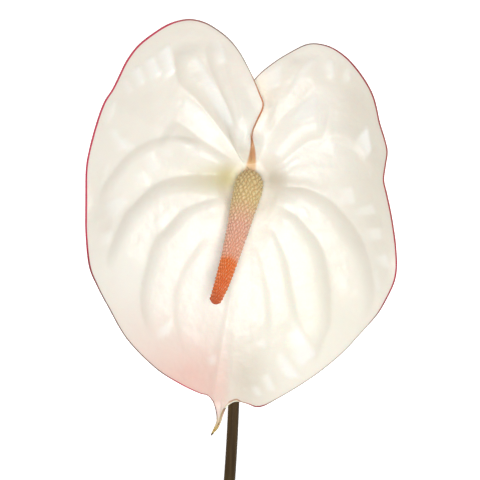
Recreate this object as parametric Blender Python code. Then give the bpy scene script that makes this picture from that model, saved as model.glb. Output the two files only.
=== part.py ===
"""A cut anthurium flower on its stem, lying face up on a table.

Three pieces grow from one point: the stem, the heart-shaped spathe that spreads round its top,
and the spadix that stands out of the spathe. Sizes are in millimetres and are written to the
scene in metres. Lists of points are in the flower's own frame: its zero is the point where the
three pieces meet, +Y runs up through the notch between the lobes, +Z is the height over the table.
"""

import math

import bmesh
import bpy
import numpy as np

MM = 0.001

# Where the meeting point stands in the part's frame, so that the whole part is centred on its origin.
MEETING_X = 4.5
MEETING_Y = 166.0

# Spathe: a waxy blade, 140 mm across its widest place.
SPATHE_THICKNESS = 0.9
BASE_HEIGHT = 13.0
LEFT_RAYS = 46
RIGHT_RAYS = 46
TAIL_RAYS = 4
RINGS = 20
RING_CROWDING = 0.92
FULLEST_SWELL = 13.0
LOBE_SWELL_LOSS = 9.0
LEFT_LOBE_SWEEP = 18.5
RIGHT_LOBE_SWEEP = 14.0
SWEEP_RISE = 28.0
SWEEP_FALL = 120.0
MIDRIB_MASK = 7.0
# Two spots where the blade's edge rests on the table and is pressed level by its weight.
RESTS = [(-74.0, -13.0), (65.0, -42.5)]
PRESS_DEPTH = 3.4
PRESS_REACH = 9.0

# How rounded the foot of a vein's bank is, and how much wider than its listed width the bank spreads.
CREASE_RADIUS = 0.6
BANK_SPREAD = 1.45

# The blade's edge from the notch, round the left lobe, down to the tail: x, y and height.
NOTCH = (0.0, 14.0, 14.5)
LEFT_EDGE = [
    (-0.9, 15.7, 16.3),
    (0.1, 18.3, 18.6),
    (2.5, 22.7, 21.0),
    (5.0, 27.0, 22.3),
    (5.5, 29.9, 22.8),
    (4.0, 33.8, 23.0),
    (0.9, 41.2, 22.8),
    (-4.5, 51.7, 21.5),
    (-9.4, 58.3, 20.0),
    (-15.4, 63.3, 18.5),
    (-21.4, 66.7, 17.0),
    (-28.4, 68.0, 15.8),
    (-36.4, 66.2, 14.6),
    (-43.4, 62.2, 13.8),
    (-50.4, 56.9, 12.8),
    (-55.5, 50.6, 11.6),
    (-59.2, 43.8, 9.8),
    (-62.5, 37.4, 8.8),
    (-66.4, 31.4, 8.2),
    (-70.1, 22.0, 6.0),
    (-73.5, 10.6, 3.2),
    (-75.2, 1.6, 1.4),
    (-75.7, -12.2, 0.6),
    (-75.4, -26.9, 1.2),
    (-73.7, -42.2, 2.6),
    (-69.9, -51.3, 4.0),
    (-64.4, -61.3, 5.4),
    (-55.9, -75.4, 7.2),
    (-43.2, -88.1, 8.8),
    (-32.1, -95.2, 9.8),
    (-23.0, -99.4, 10.8),
    (-19.3, -100.4, 11.4),
    (-17.0, -102.6, 12.0),
]
# On round the right half, from the tail back up to the notch.
RIGHT_EDGE = [
    (-10.0, -103.4, 12.4),
    (-6.5, -102.1, 13.0),
    (-1.5, -104.0, 12.4),
    (2.0, -105.5, 11.6),
    (5.5, -105.1, 11.2),
    (9.5, -103.1, 10.8),
    (20.6, -96.8, 9.6),
    (31.2, -89.8, 8.2),
    (41.4, -81.5, 6.6),
    (49.6, -73.0, 4.8),
    (57.4, -64.5, 3.0),
    (62.1, -56.9, 1.8),
    (65.8, -49.3, 0.9),
    (66.9, -42.2, 0.6),
    (66.2, -33.0, 1.8),
    (63.9, -19.4, 4.0),
    (61.6, -9.8, 6.6),
    (60.0, -3.3, 8.0),
    (60.7, 3.2, 8.4),
    (61.6, 9.2, 8.4),
    (60.3, 15.2, 8.8),
    (57.9, 22.7, 9.6),
    (56.1, 30.6, 10.6),
    (54.1, 36.1, 11.4),
    (50.5, 42.2, 12.2),
    (45.9, 48.1, 12.8),
    (41.4, 52.4, 13.2),
    (35.9, 55.8, 13.4),
    (30.4, 57.3, 13.6),
    (25.4, 57.2, 13.6),
    (20.4, 55.1, 13.5),
    (13.0, 50.8, 13.4),
    (6.0, 45.8, 13.4),
    (1.5, 41.3, 13.4),
    (-2.0, 36.3, 13.6),
    (-3.0, 30.3, 13.9),
    (-2.2, 24.3, 14.2),
    (-0.0, 19.3, 14.4),
    (0.9, 16.0, 14.5),
]
# The tail past the blade's tip: x, y, height and half width down its middle.
TAIL = [
    (-13.7, -106.0, 12.2, 2.4),
    (-13.5, -109.0, 12.0, 1.6),
    (-14.1, -112.4, 11.6, 1.1),
    (-15.7, -115.6, 11.2, 0.9),
    (-18.0, -118.4, 10.8, 0.7),
]
TAIL_TIP = (-18.6, -119.0, 10.7)

# Each vein is a crease with a bank on one side, steep at the crease and flatter further off. Its points run
# outwards from the meeting point. The last four numbers are the side of the bank (1 is to the left of the
# run), its height, its width at the foot, middle and end, and how far behind it the blade sinks back.
LEFT_VEINS = [
    ([
        (-4.9, 18.8), (-6.3, 27.7), (-8, 34.8), (-10.2, 42), (-12, 48.3), (-13.4, 53.7)
    ], -1, 0.7, (1.5, 1.8, 2), 8),
    ([
        (-6.7, 15.4), (-9.3, 25.9), (-12.5, 32.7), (-15.6, 39.4), (-18.2, 45.7), (-19.6, 51.2),
        (-20, 57.5)
    ], -1, 1.4, (1.5, 2.2, 2.6), 9),
    ([
        (-5.8, 6.2), (-8.9, 13), (-12.9, 18.3), (-16.5, 22.8), (-20.5, 27.7), (-24, 32.1), (-28, 35.6),
        (-31.6, 38.8), (-33.4, 44.2), (-34.3, 50.6), (-35.3, 56.9)
    ], -1, 2.6, (2.5, 4.5, 4.5), 14),
    ([
        (-5.8, 4), (-13, 7.8), (-18.3, 11.3), (-22.7, 14.4), (-27.1, 17.9), (-31.6, 21.1), (-36.1, 23.8)
    ], 1, 2.3, (2.5, 4.2, 5.5), 12),
    ([
        (-20.1, 10), (-24.5, 13.5), (-30.7, 15.3), (-37.9, 15.4), (-45.1, 13.7), (-51.1, 10.7),
        (-55.8, 7.3), (-59.6, 3.4), (-62.8, -0.6), (-65.4, -3.7), (-67.3, -7.3), (-68.8, -11.4),
        (-69.8, -15.9)
    ], 1, 1.9, (2.5, 3.6, 3.6), 14),
    ([
        (-4.9, -1.8), (-11.2, -1), (-18.3, -1.5), (-27.3, -1.9), (-35.8, -3), (-40.8, -4.6),
        (-45.4, -7.5), (-49.4, -11.2), (-52.4, -14.3), (-56.2, -18.3), (-58.7, -22.8), (-61.6, -29.6),
        (-63.8, -35.3), (-65.1, -40.9), (-65.5, -45.9)
    ], 1, 3, (8, 4.6, 3.2), 16),
    ([
        (-6.7, -9.9), (-11.2, -10.4), (-15.8, -12.1), (-24.3, -14.5), (-30, -17), (-34.1, -20.6),
        (-38.2, -25.5), (-42.3, -29.2), (-45.2, -36), (-46.8, -42.6), (-48.6, -49.1), (-49.4, -55.6),
        (-49.2, -60.2), (-48.4, -65.1), (-46.8, -71), (-45.5, -76.4)
    ], 1, 1.9, (3.5, 4, 2.8), 15),
    ([
        (-18.7, -26.5), (-22.3, -30.9), (-25.8, -36.7), (-29.4, -42.1), (-32.1, -47.9), (-33.9, -53.7),
        (-34.3, -59.9), (-33.7, -66.2), (-32.4, -73.9), (-30.5, -79.3), (-27.8, -84.7)
    ], 1, 0.6, (2, 1.8, 1.4), 10),
]
RIGHT_VEINS = [
    ([
        (7.5, 19.4), (10.7, 27.4), (13.3, 33.7), (17.4, 39.3), (21.9, 45), (24.6, 49.5)
    ], 1, 1.2, (2.4, 3.4, 3.6), 9),
    ([
        (6.6, 14), (11.1, 21.2), (15.6, 25.7), (21.3, 30.7), (25.4, 35.2), (29.4, 37.7), (33.9, 38.6)
    ], 1, 1.6, (3, 5.2, 6), 11),
    ([
        (5.8, -1.8), (9.4, 1.3), (15.1, 5.2), (20.4, 9.6), (24.4, 12.7), (28.4, 14), (33.4, 13.6)
    ], 1, 2.2, (3.4, 5.6, 6.4), 14),
    ([
        (31.6, 13.1), (37.9, 13.7), (41.9, 12.4), (45.6, 10.2), (49.7, 5.3), (52.6, 0.1), (54, -5.3)
    ], 1, 1, (2, 2.4, 3), 8),
    ([
        (6.7, -3.6), (14.3, -6.8), (23.6, -7.3), (29.4, -9.6), (34.4, -12.2), (38, -15.3),
        (43.3, -20.8), (47, -25.8), (50.4, -31.6), (52.7, -38.2), (54.2, -44.5), (55.4, -51.2),
        (55.2, -57.7), (53.2, -64.1), (50.5, -69.1)
    ], -1, 2.8, (5.5, 6, 2.2), 16),
    ([
        (8.5, -11.7), (11.5, -14.5), (15.8, -17.3), (20.9, -20.5), (25.1, -25.1), (28.7, -29.4),
        (31.6, -34.4), (33.5, -40.2), (34.6, -46.6), (35.3, -52.9), (35.5, -60.1), (35.4, -68),
        (33.3, -73.9), (31.2, -79.6), (29, -85.5), (26.5, -89.1)
    ], -1, 2, (3.2, 4.4, 2), 15),
    ([
        (8.4, -22.5), (11.5, -30.1), (13.6, -34.4), (15.4, -39.4), (16.5, -43.7), (17.6, -50.8),
        (18.9, -57.3), (20.9, -64.9), (22.8, -69.8)
    ], -1, 0.9, (1.6, 2.2, 2.4), 10),
    ([
        (2.6, -32.3), (3.9, -38), (5.4, -43.6), (6.5, -49.3), (8.2, -55.4), (8.4, -65.2), (8, -74.2)
    ], -1, 0.5, (1.4, 2, 1.6), 9),
]
MIDRIB = [(-5, -20), (-9, -42), (-10.5, -58), (-11, -72), (-11.3, -86), (-12.5, -96), (-13.7, -103)]
MIDRIB_DEPTH = 0.4
MIDRIB_WIDTH = 2.4
SINUS_X = 0.4
SINUS_CREST_HEIGHT = 1.2
SINUS_CREST_WIDTH = 1.4

# The blade is level where the spadix stands on it and the stem meets it from below.
SEAT = (0.0, -4.0)
SEAT_RADIUS = 7.0
SEAT_BLEND = 10.0
GAP = 0.3

# Spadix: x, y, height over its seat and radius down its middle.
SPADIX = [
    (-0.3, -4.4, 0.2, 3.5),
    (-0.4, -4.4, 1.6, 5.0),
    (-0.8, -5.6, 4.2, 5.9),
    (-1.6, -9.2, 8.0, 6.0),
    (-3.2, -15.0, 11.8, 5.5),
    (-4.9, -22.0, 15.6, 4.85),
    (-7.1, -30.5, 19.8, 4.15),
    (-9.8, -40.0, 24.0, 3.45),
    (-12.9, -49.7, 28.6, 2.85),
    (-15.2, -55.6, 31.4, 2.25),
]
SPADIX_ROWS = 54
SPADIX_SIDES = 32
TIP_ROWS = 4
FLORET_HEIGHT = 0.35

# Stem: it lies along the table on one flat facet, and its top bends up to the blade.
STEM_TOP = [
    (-0.2, -3.8, 12.2, 3.1),
    (-0.2, -3.8, 9.2, 2.9),
    (-0.9, -6.8, 6.0, 2.75),
    (-2.2, -14.0, 3.9, 2.62),
    (-4.0, -28.0, 2.95, 2.6),
]
STEM_RUN = [
    (-5.6, -50.0, 2.58),
    (-7.2, -90.0, 2.56),
    (-8.8, -125.0, 2.6),
    (-11.6, -165.0, 2.68),
    (-15.2, -215.0, 2.78),
    (-18.0, -270.0, 2.9),
    (-19.6, -330.0, 3.05),
    (-19.6, -385.0, 3.2),
    (-19.2, -400.0, 3.25),
]
STEM_STEPS = 46
STEM_SIDES = 12

SPATHE_COLOUR = (0.91, 0.89, 0.83)
SPADIX_COLOUR = (0.72, 0.36, 0.20)
STEM_COLOUR = (0.075, 0.048, 0.019)


def smooth(value):
    """0 below 0, 1 above 1, and an even slope at both ends."""
    t = np.clip(value, 0.0, 1.0)
    return t * t * (3.0 - 2.0 * t)


def through(points, count):
    """count + 1 rows on a smooth curve through the points, evenly spaced along it."""
    rows = np.array(points, float)
    padded = np.vstack([2 * rows[0] - rows[1], rows, 2 * rows[-1] - rows[-2]])
    fine = []
    for i in range(len(rows) - 1):
        a, b, c, d = padded[i : i + 4]
        for t in np.linspace(0.0, 1.0, 16, endpoint=False):
            bend = (2 * a - 5 * b + 4 * c - d) * t**2 + (3 * b - a - 3 * c + d) * t**3
            fine.append(0.5 * (2 * b + (c - a) * t + bend))
    fine = np.array(fine + [rows[-1]])
    steps = np.linalg.norm(np.diff(fine[:, :3], axis=0), axis=1)
    along = np.concatenate([[0.0], np.cumsum(steps)])
    wanted = np.linspace(0.0, along[-1], count + 1)
    return np.column_stack([np.interp(wanted, along, fine[:, k]) for k in range(rows.shape[1])])


def soft(value):
    """The value itself above 0 and nothing below, with a rounded bend between."""
    return 0.5 * (value + np.sqrt(value * value + CREASE_RADIUS**2))


def fold(xy, points, side, height, widths, fade):
    """The height that one vein adds at each xy: a bank on one side, nothing on the other."""
    line = through(points, 36)
    start, step = line[:-1], np.diff(line, axis=0)
    length = np.linalg.norm(step, axis=1)
    offset = xy[:, None, :] - start[None]
    share = np.clip((offset * step).sum(2) / length**2, 0.0, 1.0)
    gap = offset - share[..., None] * step
    distance = np.linalg.norm(gap, axis=2)
    nearest = distance.argmin(1)
    rows = np.arange(len(xy))
    turn = step[nearest, 0] * offset[rows, nearest, 1] - step[nearest, 1] * offset[rows, nearest, 0]
    across = distance[rows, nearest] * np.sign(turn) * side
    run = (nearest + share[rows, nearest]) / len(step)
    width = np.interp(run, (0.0, 0.5, 1.0), widths)
    left = 1.0 - np.clip(soft(across) / (BANK_SPREAD * width), 0.0, 1.0)
    bank = (1.0 - left * left) * (1.0 - smooth((across - width) / fade))
    return height * smooth(run / 0.15) * smooth((1.0 - run) / 0.15) * bank


def midrib_at(y):
    """x of the midrib at each y."""
    line = through(MIDRIB, 40)
    return np.interp(-y, -line[:, 1], line[:, 0])


def relief(xy, half):
    """Height of the veins, the midrib and the crest below the notch. half is -1 left and 1 right."""
    lift = sum(fold(xy, *vein) for vein in (LEFT_VEINS if half < 0 else RIGHT_VEINS))
    beside = (xy[:, 0] - midrib_at(xy[:, 1])) * half
    below = smooth(-xy[:, 1] / 14.0)
    lift = lift * (1.0 - below * (1.0 - smooth(beside / MIDRIB_MASK)))
    rib = MIDRIB_DEPTH * np.exp(-((beside / MIDRIB_WIDTH) ** 2)) * smooth((-xy[:, 1] - 15.0) / 20.0)
    crest_run = smooth(xy[:, 1] / 4.0) * smooth((NOTCH[1] + 1.5 - xy[:, 1]) / 3.0)
    crest = SINUS_CREST_HEIGHT * np.exp(-(((xy[:, 0] - SINUS_X) / SINUS_CREST_WIDTH) ** 2)) * crest_run
    return lift - rib + crest


def ray_window(run):
    """How far a ray swings clear of the notch, by the distance along the edge from the notch."""
    rise = np.sin(0.5 * math.pi * np.clip(run / SWEEP_RISE, 0.0, 1.0))
    fall = 0.5 * (1.0 + np.cos(math.pi * np.clip((run - SWEEP_RISE) / SWEEP_FALL, 0.0, 1.0)))
    return rise * fall


def run_along(edge):
    """Distance along the edge to each of its points, from its first."""
    return np.concatenate([[0.0], np.cumsum(np.linalg.norm(np.diff(edge[:, :2], axis=0), axis=1))])


def half_sheet(edge, run, half, sweep):
    """Rows of points from the meeting point to each edge point, along rays that bend round the notch."""
    base = np.array([0.0, 0.0, BASE_HEIGHT])
    window = ray_window(run)[:, None]
    middle = 0.5 * (edge + base)
    middle = middle + window * np.array([sweep * half, 0.0, 0.0])
    middle[:, 2] += FULLEST_SWELL - LOBE_SWELL_LOSS * window[:, 0]
    shares = (np.arange(1, RINGS + 1) / RINGS) ** RING_CROWDING
    grid = np.array([(1 - t) ** 2 * base + 2 * t * (1 - t) * middle + t**2 * edge for t in shares])
    flat = grid.reshape(-1, 3)
    fade = np.repeat(smooth(shares / 0.12), len(edge))
    flat[:, 2] += relief(flat[:, :2], half) * fade
    level = smooth(1.0 - (np.hypot(flat[:, 0] - SEAT[0], flat[:, 1] - SEAT[1]) - SEAT_RADIUS) / SEAT_BLEND)
    flat[:, 2] += (BASE_HEIGHT - flat[:, 2]) * level
    for x, y in RESTS:
        away = np.hypot(flat[:, 0] - x, flat[:, 1] - y) / PRESS_REACH
        flat[:, 2] -= PRESS_DEPTH * np.exp(-away * away)
    return flat.reshape(RINGS, len(edge), 3)


def spathe_sheet():
    """The blade's middle surface: its base point, then RINGS rows of points from notch to notch."""
    left = through([NOTCH, *LEFT_EDGE], LEFT_RAYS)
    right = through([*RIGHT_EDGE, NOTCH], RIGHT_RAYS)
    left_run = run_along(left)
    right_run = run_along(right[::-1])[::-1]
    tail_foot = np.array([left[-1] + (right[0] - left[-1]) * k / TAIL_RAYS for k in range(1, TAIL_RAYS)])
    far = np.full(len(tail_foot), SWEEP_RISE + SWEEP_FALL)
    left_part = half_sheet(left, left_run, -1, LEFT_LOBE_SWEEP)
    right_part = half_sheet(right, right_run, 1, RIGHT_LOBE_SWEEP)
    tail_part = 0.5 * (half_sheet(tail_foot, far, -1, 0.0) + half_sheet(tail_foot, far, 1, 0.0))
    return np.concatenate([left_part, tail_part, right_part[:, :-1]], axis=1)


def sheet_faces(grid):
    """Vertices and faces of the blade's middle surface with its tail, as triangles."""
    rows, columns = grid.shape[:2]
    points = [np.array([0.0, 0.0, BASE_HEIGHT]), *grid.reshape(-1, 3)]
    number = lambda row, column: 1 + row * columns + column % columns
    faces = []
    for column in range(columns):
        faces.append((0, number(0, column), number(0, column + 1)))
        for row in range(rows - 1):
            a, b = number(row, column), number(row, column + 1)
            c, d = number(row + 1, column + 1), number(row + 1, column)
            faces += [(a, d, c), (a, c, b)] if (row + column) % 2 else [(a, d, b), (b, d, c)]
    before = [number(rows - 1, LEFT_RAYS + k) for k in range(TAIL_RAYS + 1)]
    spots = [points[i][:2] for i in before]
    across = (spots[-1] - spots[0]) / np.linalg.norm(spots[-1] - spots[0])
    for x, y, z, half_width in TAIL:
        first = len(points)
        for k in range(TAIL_RAYS + 1):
            side = (2.0 * k / TAIL_RAYS - 1.0) * half_width
            gutter = 0.5 * half_width * (side / half_width) ** 2
            points.append(np.array([x + side * across[0], y + side * across[1], z + gutter]))
        after = list(range(first, first + TAIL_RAYS + 1))
        for k in range(TAIL_RAYS):
            faces += [(before[k], after[k], before[k + 1]), (before[k + 1], after[k], after[k + 1])]
        before = after
    points.append(np.array(TAIL_TIP))
    faces += [(before[k], len(points) - 1, before[k + 1]) for k in range(TAIL_RAYS)]
    return np.array(points), faces


def finish(name, piece_mesh, colour, roughness):
    """Turns a bmesh in millimetres into one named piece with its own material."""
    bmesh.ops.recalc_face_normals(piece_mesh, faces=piece_mesh.faces)
    offset = (MEETING_X, MEETING_Y, 0.0)
    for vertex in piece_mesh.verts:
        vertex.co = [(vertex.co[k] + offset[k]) * MM for k in range(3)]
    mesh = bpy.data.meshes.new(name)
    piece_mesh.to_mesh(mesh)
    piece_mesh.free()
    mesh.shade_smooth()
    material = bpy.data.materials.new(name)
    material.use_nodes = True
    shader = material.node_tree.nodes["Principled BSDF"]
    shader.inputs["Base Color"].default_value = (*colour, 1.0)
    shader.inputs["Roughness"].default_value = roughness
    mesh.materials.append(material)
    piece = bpy.data.objects.new(name, mesh)
    bpy.context.scene.collection.objects.link(piece)
    return piece


def make_spathe():
    """The blade: its middle surface made thick, with flat spots where its edge rests on the table."""
    points, faces = sheet_faces(spathe_sheet())
    blade = bmesh.new()
    over = [blade.verts.new(point) for point in points]
    sheet = [blade.faces.new([over[i] for i in face]) for face in faces]
    blade.normal_update()
    half = 0.5 * SPATHE_THICKNESS * (1.0 if sum(face.normal.z for face in sheet) > 0.0 else -1.0)
    margin = [edge.verts[:] for edge in blade.edges if edge.is_boundary]
    normals = [vertex.normal.copy() for vertex in over]
    under = {vertex: blade.verts.new(vertex.co - half * normal) for vertex, normal in zip(over, normals)}
    for vertex, normal in zip(over, normals):
        under[vertex].co.z = max(under[vertex].co.z, 0.0)
        vertex.co = vertex.co + half * normal
        vertex.co.z = max(vertex.co.z, 0.85 * SPATHE_THICKNESS)
    for face in sheet:
        blade.faces.new([under[vertex] for vertex in reversed(face.verts)])
    for a, b in margin:
        blade.faces.new((a, b, under[b], under[a]))
    return finish("spathe", blade, SPATHE_COLOUR, 0.35)


def tube(path, sides, lift):
    """A closed tube along rows of x, y, z and radius. lift is the extra radius at each row and side."""
    step = np.gradient(path[:, :3], axis=0)
    ahead = step / np.linalg.norm(step, axis=1)[:, None]
    aside = np.array([1.0, 0.0, 0.0]) - ahead[:, :1] * ahead
    aside /= np.linalg.norm(aside, axis=1)[:, None]
    above = np.cross(ahead, aside)
    body = bmesh.new()
    rings = []
    for row, (x, y, z, radius) in enumerate(path):
        ring = []
        for k in range(sides):
            angle = 2.0 * math.pi * (k + 0.5) / sides
            out = math.cos(angle) * aside[row] + math.sin(angle) * above[row]
            ring.append(body.verts.new(np.array([x, y, z]) + (radius + lift(row, k)) * out))
        rings.append(ring)
    for near, far in zip(rings, rings[1:]):
        for k in range(sides):
            body.faces.new((near[k], near[(k + 1) % sides], far[(k + 1) % sides], far[k]))
    body.faces.new(rings[0])
    body.faces.new(rings[-1])
    return body


def make_spadix():
    """The spadix: a tapered spike with a lattice of small florets raised on it."""
    seat = BASE_HEIGHT + 0.5 * SPATHE_THICKNESS + GAP
    middle = through([(x, y, seat + z, r) for x, y, z, r in SPADIX], SPADIX_ROWS)
    ahead = middle[-1, :3] - middle[-2, :3]
    ahead /= np.linalg.norm(ahead)
    tip_radius = middle[-1, 3]
    for k in range(1, TIP_ROWS + 1):
        turn = 0.5 * math.pi * k / (TIP_ROWS + 0.4)
        spot = middle[SPADIX_ROWS, :3] + ahead * tip_radius * math.sin(turn)
        middle = np.vstack([middle, [*spot, tip_radius * math.cos(turn)]])

    def floret(row, side):
        return FLORET_HEIGHT if (row + side) % 2 and 1 < row < SPADIX_ROWS + 1 else 0.0

    return finish("spadix", tube(middle, SPADIX_SIDES, floret), SPADIX_COLOUR, 0.5)


def make_stem():
    """The stem: one facet lies flat on the table, and the top bends up under the blade."""
    flat = math.cos(math.pi / STEM_SIDES)
    run = [(x, y, radius * flat, radius) for x, y, radius in STEM_RUN]
    bend = through([*STEM_TOP, run[0], run[1]], 24)
    last = int(np.argmax(bend[:, 1] < run[0][1]))
    along = through(run, STEM_STEPS - 20)
    along[:, 2] = along[:, 3] * flat
    path = np.vstack([bend[:last], along])
    path[:, 2] = np.maximum(path[:, 2], path[:, 3] * flat)
    return finish("stem", tube(path, STEM_SIDES, lambda row, side: 0.0), STEM_COLOUR, 0.45)


def main():
    for item in list(bpy.data.objects):
        bpy.data.objects.remove(item)
    make_stem()
    make_spathe()
    make_spadix()


main()
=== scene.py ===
"""A cut anthurium flower lying face up: spathe, spadix and stem, with their finishes and a plain stage."""

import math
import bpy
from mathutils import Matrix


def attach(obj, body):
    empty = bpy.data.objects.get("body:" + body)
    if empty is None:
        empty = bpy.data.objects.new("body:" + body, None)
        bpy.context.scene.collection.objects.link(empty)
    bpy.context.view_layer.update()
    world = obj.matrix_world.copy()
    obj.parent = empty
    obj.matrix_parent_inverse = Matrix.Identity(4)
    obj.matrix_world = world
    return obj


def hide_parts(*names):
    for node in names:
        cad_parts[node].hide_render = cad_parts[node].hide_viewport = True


bl_info = {
    "name": "Cut anthurium flower",
    "version": (1, 0, 0),
    "blender": (4, 5, 0),
    "location": "View3D > Sidebar > Flower",
    "description": "Models a cut anthurium's spathe, spadix and stem on a pale floor",
    "category": "Add Mesh",
}

import bpy
import numpy as np

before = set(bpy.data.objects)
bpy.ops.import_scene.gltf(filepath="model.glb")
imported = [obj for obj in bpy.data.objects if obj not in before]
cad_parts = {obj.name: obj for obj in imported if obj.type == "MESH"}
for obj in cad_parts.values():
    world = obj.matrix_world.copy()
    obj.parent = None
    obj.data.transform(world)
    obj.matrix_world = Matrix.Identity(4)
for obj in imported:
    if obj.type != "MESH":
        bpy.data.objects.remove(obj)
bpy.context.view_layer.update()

MM = 0.001
MERGE_GAP = 1e-7
CURVE_STEPS = 16
# Where stem, spathe and spadix meet. All lists are in millimetres from here, with height over the table.
MEETING = (4.5, 166.0)

# How the blade swells up from its base, and how its rays swing clear of the notch.
BASE_HEIGHT = 13.0
FULLEST_SWELL = 13.0
LOBE_SWELL_LOSS = 9.0
LEFT_LOBE_SWEEP = 18.5
RIGHT_LOBE_SWEEP = 14.0
SWEEP_RISE = 28.0
SWEEP_FALL = 120.0
ROW_CROWDING = 0.93

# How the blade's tail bends and where its rays begin.
TAIL_HOOK = 2.2
TAIL_HOOK_RISE = 0.3
TAIL_HALF_WIDTH = 5.5
TAIL_LEFT = (-17.0, -102.6, 12.2)
TAIL_RIGHT = (-9.8, -103.3, 12.5)

# Where the blade presses on the table, and the level seat of the spadix.
RESTS = [(-74.0, -13.0), (65.0, -42.5)]
PRESS_DEPTH = 2.6
PRESS_REACH = 8.0
LOWEST_MIDDLE = 0.35
LANDING_RADIUS = 1.2
SEAT = (0.0, -4.0)
SEAT_RADIUS = 7.0
SEAT_BLEND = 10.0

# How the veins' creases and banks and the cells are rounded.
RELIEF_START = 0.12
CREASE_RADIUS = 0.6
BANK_SPREAD = 1.45
STEEP_HEIGHT = 1.8
VEIN_STRETCHES = 36
VEIN_END = 0.15
CELL_EDGE = 2.2
CELL_FADE = 7.0
CELL_REACH = 2.0

# The midrib, and the strip beside it that the veins leave clear.
MIDRIB_STRETCHES = 60
MIDRIB_WIDTH = 2.4
MIDRIB_START = 15.0
MIDRIB_EASE = 20.0
MIDRIB_MASK = 7.0
MIDRIB_MASK_EASE = 14.0

# The crest that runs up from the base to the notch.
SINUS_X = 0.4
SINUS_CREST_HEIGHT = 1.2
SINUS_CREST_WIDTH = 1.4
SINUS_CREST_PAST = 1.5
SINUS_FOOT_EASE = 4.0
SINUS_TOP_EASE = 3.0

# The edge from the notch, round the left lobe, to the tail's tip, and back up the right half.
NOTCH = (0.0, 14.0, 14.5)
LEFT_EDGE = [
    (0.3, 15.7, 16.0), (0.7, 18.3, 18.2), (2.7, 22.7, 21.0), (5.0, 27.0, 22.3), (5.5, 29.9, 22.8),
    (4.0, 33.8, 23.0), (0.9, 41.2, 22.8), (-4.5, 51.7, 21.5), (-9.4, 58.3, 20.0), (-15.4, 63.3, 18.5),
    (-21.4, 66.7, 17.0), (-28.4, 68.0, 15.8), (-36.4, 66.2, 14.6), (-43.4, 62.2, 13.8),
    (-50.4, 56.9, 12.8), (-55.5, 50.6, 11.6), (-59.2, 43.8, 9.8), (-62.5, 37.4, 8.8), (-66.4, 31.4, 8.2),
    (-70.1, 22.0, 6.0), (-73.5, 10.6, 3.2), (-75.2, 1.6, 1.4), (-75.7, -12.2, 0.6), (-75.4, -26.9, 1.2),
    (-73.7, -42.2, 2.6), (-69.9, -51.3, 4.0), (-64.4, -61.3, 5.4), (-55.9, -75.4, 7.2),
    (-43.2, -88.1, 8.8), (-32.1, -95.2, 9.8), (-23.0, -99.4, 10.8), (-19.5, -100.2, 11.4),
    (-17.4, -102.4, 12.2), (-16.1, -105.9, 12.4), (-15.4, -109.8, 12.2), (-15.6, -113.9, 11.6),
    (-16.8, -116.3, 11.1), (-18.1, -118.6, 10.7),
]
RIGHT_EDGE = [
    (-16.6, -117.3, 10.9), (-15.5, -115.6, 11.4), (-14.6, -113.8, 11.9), (-13.4, -109.5, 12.6),
    (-12.1, -106.4, 12.8), (-10.6, -105.0, 12.7), (-8.9, -103.7, 12.5), (-6.4, -102.8, 12.4),
    (-1.5, -104.0, 12.2), (2.0, -105.5, 11.6), (5.5, -105.1, 11.2), (9.5, -103.1, 10.8),
    (20.6, -96.8, 9.6), (31.2, -89.8, 8.2), (41.4, -81.5, 6.6), (49.6, -73.0, 4.8), (57.4, -64.5, 3.0),
    (62.1, -56.9, 1.8), (65.8, -49.3, 0.9), (66.9, -42.2, 0.6), (66.2, -33.0, 1.8), (63.9, -19.4, 4.0),
    (61.6, -9.8, 6.6), (60.0, -3.3, 8.0), (60.7, 3.2, 8.4), (61.6, 9.2, 8.4), (60.3, 15.2, 8.8),
    (57.9, 22.7, 9.6), (56.1, 30.6, 10.6), (54.1, 36.1, 11.4), (50.5, 42.2, 12.2), (45.9, 48.1, 12.8),
    (41.4, 52.4, 13.2), (35.9, 55.8, 13.4), (30.4, 57.3, 13.6), (25.4, 57.2, 13.6), (20.4, 55.1, 13.5),
    (13.0, 50.8, 13.4), (6.0, 45.8, 13.4), (1.5, 41.3, 13.4), (-2.0, 36.3, 13.6), (-3.0, 30.3, 13.9),
    (-2.2, 24.3, 14.2), (-0.9, 19.3, 14.3), (-0.3, 16.0, 14.4),
]

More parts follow.
